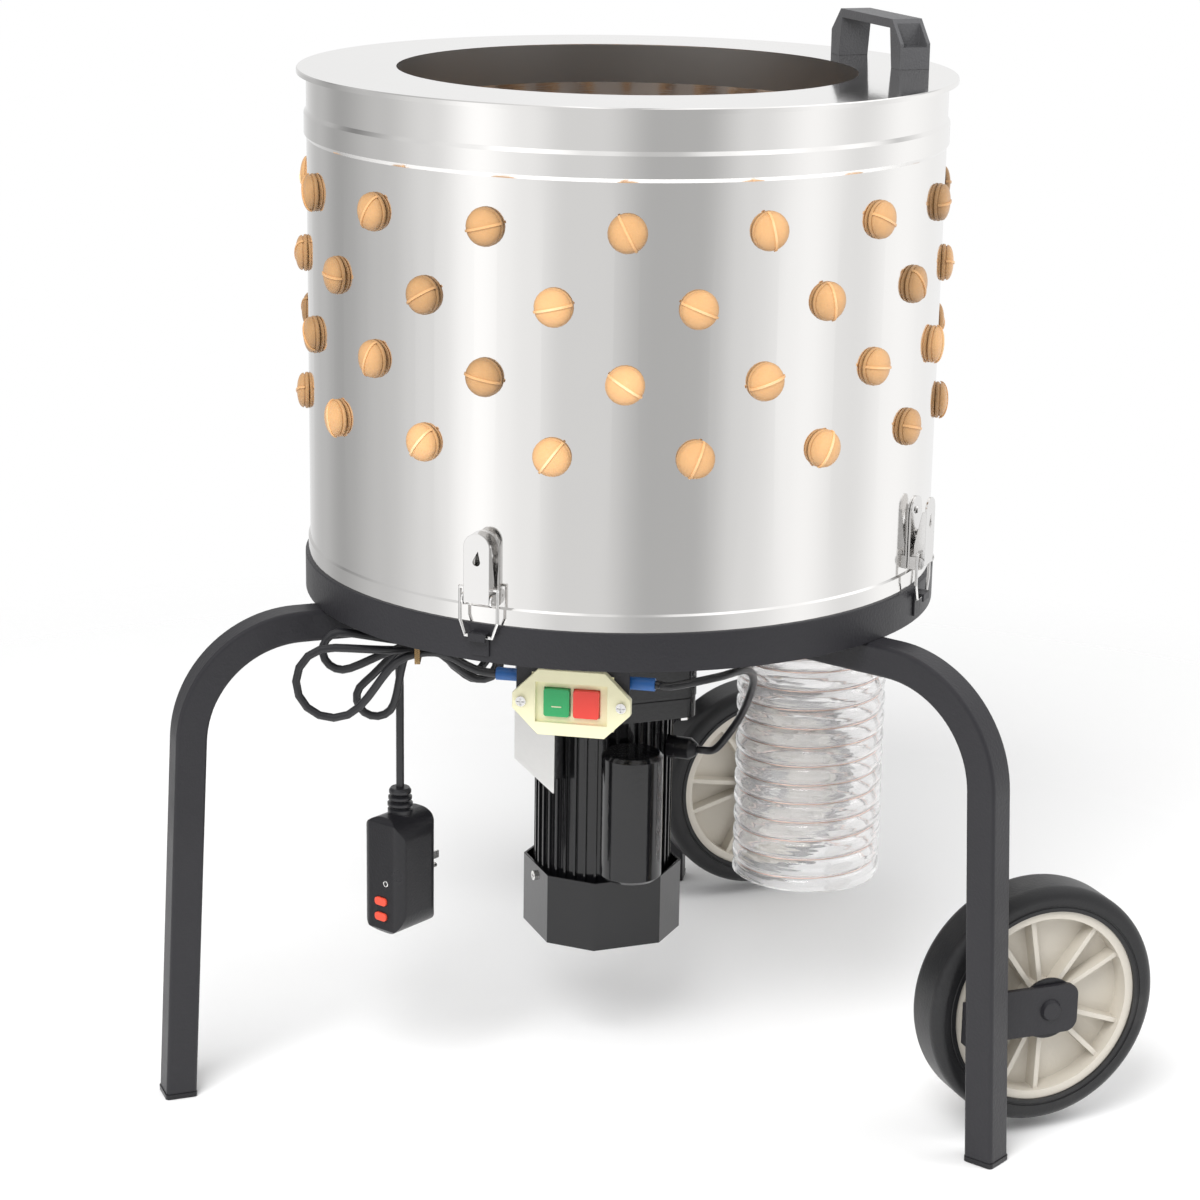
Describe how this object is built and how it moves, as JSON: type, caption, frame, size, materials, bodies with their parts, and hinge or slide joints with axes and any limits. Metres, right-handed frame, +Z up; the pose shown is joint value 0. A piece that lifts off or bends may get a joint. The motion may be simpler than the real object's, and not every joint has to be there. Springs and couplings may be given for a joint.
{
  "type": "poultry plucker",
  "caption": "Drum poultry plucker: rubber-fingered steel drum with spinning finger plate, latched on a wheeled three-legged stand with motor, switch, feather hose and corded plug.",
  "frame": {"origin": "on the floor, under the middle of the machine's box without its cord and plug", "axes": "+Z up, +X from the single front leg towards the wheels and the carrying handle, +Y to the left of someone facing +X"},
  "size_m": [0.7354, 0.6828, 0.8505],
  "materials": {
    "drum_steel": "polished sheet steel",
    "plate_steel": "plain sheet steel",
    "bright_metal": "bright plated",
    "frame_paint": "satin black coat",
    "finger_rubber": "matte",
    "tyre_rubber": "matte",
    "hub_plastic": "matte beige",
    "grip_plastic": "fine grain",
    "black_plastic": "semi-gloss",
    "motor_paint": "gloss black",
    "plate_blank": "plain, blank",
    "switch_cream": "smooth cream",
    "green_plastic": "smooth green",
    "red_plastic": "smooth red",
    "blue_plastic": "smooth blue",
    "clear_hose": "clear flexible plastic",
    "cord_rubber": "satin",
    "tie_fabric": "paper-covered wire"
  },
  "bodies": {
    "stand": {"drum_shell": "drum_steel", "top_plate": "drum_steel", "wall_fingers_upper": "finger_rubber", "wall_fingers_lower": "finger_rubber", "carry_handle": "grip_plastic", "cross_screws": "bright_metal", "latch_bases": "bright_metal", "latch_rivets": "bright_metal", "latch_catches": "frame_paint", "ring_hoop": "frame_paint", "front_leg": "frame_paint", "wheel_leg_left": "frame_paint", "wheel_leg_right": "frame_paint", "leg_caps": "black_plastic", "wheel_brackets": "frame_paint", "stub_axles": "frame_paint", "wheel_washers": "black_plastic", "hex_fasteners": "bright_metal", "base_pan": "plate_steel", "motor_plate": "frame_paint", "gearbox": "motor_paint", "motor_body": "motor_paint", "fan_cowl": "motor_paint", "capacitor_cover": "black_plastic", "name_plate": "plate_blank", "cable_gland": "black_plastic", "motor_lead": "cord_rubber", "bearing_housing": "frame_paint", "switch_box": "switch_cream", "switch_plate": "switch_cream", "switch_bracket": "frame_paint", "cable_sleeves": "blue_plastic", "feather_hose": "clear_hose", "hose_clamp": "bright_metal", "cord_loops": "cord_rubber", "cord_tail": "cord_rubber", "cord_tie": "tie_fabric", "plug_body": "black_plastic", "strain_relief": "cord_rubber", "plug_blades": "bright_metal"},
    "spinner": {"drive_shaft": "plate_steel", "feather_plate": "plate_steel", "plate_fingers": "finger_rubber"},
    "fan": {"cooling_fan": "grip_plastic"},
    "wheel_left": {"wheel_hub_left": "hub_plastic", "wheel_tyre_left": "tyre_rubber"},
    "wheel_right": {"wheel_hub_right": "hub_plastic", "wheel_tyre_right": "tyre_rubber"},
    "start_key": {"start_button": "green_plastic"},
    "stop_key": {"stop_button": "red_plastic"},
    "test_key": {"test_button": "red_plastic"},
    "reset_key": {"reset_button": "red_plastic"},
    "lever_1": {"latch_lever_1": "bright_metal"},
    "bail_1": {"latch_bail_1": "bright_metal"},
    "lever_2": {"latch_lever_2": "bright_metal"},
    "bail_2": {"latch_bail_2": "bright_metal"},
    "lever_3": {"latch_lever_3": "bright_metal"},
    "bail_3": {"latch_bail_3": "bright_metal"},
    "lever_4": {"latch_lever_4": "bright_metal"},
    "bail_4": {"latch_bail_4": "bright_metal"}
  },
  "joints": [
    {"name": "plate_spin", "type": "hinge", "parent": "stand", "child": "spinner", "pos_m": [0.02025, 0, 0.43], "axis": [0, 0, 1], "continuous": true},
    {"name": "fan_spin", "type": "hinge", "parent": "stand", "child": "fan", "pos_m": [0.01125, 0.004, 0.12], "axis": [0, 0, 1], "continuous": true},
    {"name": "wheel_left_spin", "type": "hinge", "parent": "stand", "child": "wheel_left", "pos_m": [0.27025, 0.27, 0.108], "axis": [0, 1, 0], "continuous": true},
    {"name": "wheel_right_spin", "type": "hinge", "parent": "stand", "child": "wheel_right", "pos_m": [0.27025, -0.27, 0.108], "axis": [0, 1, 0], "continuous": true},
    {"name": "lever_1_swing", "type": "hinge", "parent": "stand", "child": "lever_1", "pos_m": [0.20304, -0.18279, 0.447], "axis": [0.7071, 0.7071, 0], "range_deg": [0, 85]},
    {"name": "bail_1_swing", "type": "hinge", "parent": "lever_1", "child": "bail_1", "pos_m": [0.20304, -0.18279, 0.4555], "axis": [0.7071, 0.7071, 0], "range_deg": [-70, 0]},
    {"name": "lever_2_swing", "type": "hinge", "parent": "stand", "child": "lever_2", "pos_m": [0.20304, 0.18279, 0.447], "axis": [-0.7071, 0.7071, 0], "range_deg": [0, 85]},
    {"name": "bail_2_swing", "type": "hinge", "parent": "lever_2", "child": "bail_2", "pos_m": [0.20304, 0.18279, 0.4555], "axis": [-0.7071, 0.7071, 0], "range_deg": [-70, 0]},
    {"name": "lever_3_swing", "type": "hinge", "parent": "stand", "child": "lever_3", "pos_m": [-0.16254, 0.18279, 0.447], "axis": [-0.7071, -0.7071, 0], "range_deg": [0, 85]},
    {"name": "bail_3_swing", "type": "hinge", "parent": "lever_3", "child": "bail_3", "pos_m": [-0.16254, 0.18279, 0.4555], "axis": [-0.7071, -0.7071, 0], "range_deg": [-70, 0]},
    {"name": "lever_4_swing", "type": "hinge", "parent": "stand", "child": "lever_4", "pos_m": [-0.16254, -0.18279, 0.447], "axis": [0.7071, -0.7071, 0], "range_deg": [0, 85]},
    {"name": "bail_4_swing", "type": "hinge", "parent": "lever_4", "child": "bail_4", "pos_m": [-0.16254, -0.18279, 0.4555], "axis": [0.7071, -0.7071, 0], "range_deg": [-70, 0]},
    {"name": "start_press", "type": "slide", "parent": "stand", "child": "start_key", "axis": [0.5299, 0.848, 0], "range_m": [0, 0.003], "stiffness_N_per_m": 600},
    {"name": "stop_press", "type": "slide", "parent": "stand", "child": "stop_key", "axis": [0.5299, 0.848, 0], "range_m": [0, 0.003], "stiffness_N_per_m": 600},
    {"name": "test_press", "type": "slide", "parent": "stand", "child": "test_key", "axis": [0.866, 0.5, 0], "range_m": [0, 0.0015], "stiffness_N_per_m": 400},
    {"name": "reset_press", "type": "slide", "parent": "stand", "child": "reset_key", "axis": [0.866, 0.5, 0], "range_m": [0, 0.0015], "stiffness_N_per_m": 400}
  ],
  "couplings": [
    {"joint": "fan_spin", "follows": "plate_spin", "ratio": 5},
    {"joint": "bail_1_swing", "follows": "lever_1_swing", "ratio": -0.82},
    {"joint": "bail_2_swing", "follows": "lever_2_swing", "ratio": -0.82},
    {"joint": "bail_3_swing", "follows": "lever_3_swing", "ratio": -0.82},
    {"joint": "bail_4_swing", "follows": "lever_4_swing", "ratio": -0.82}
  ]
}
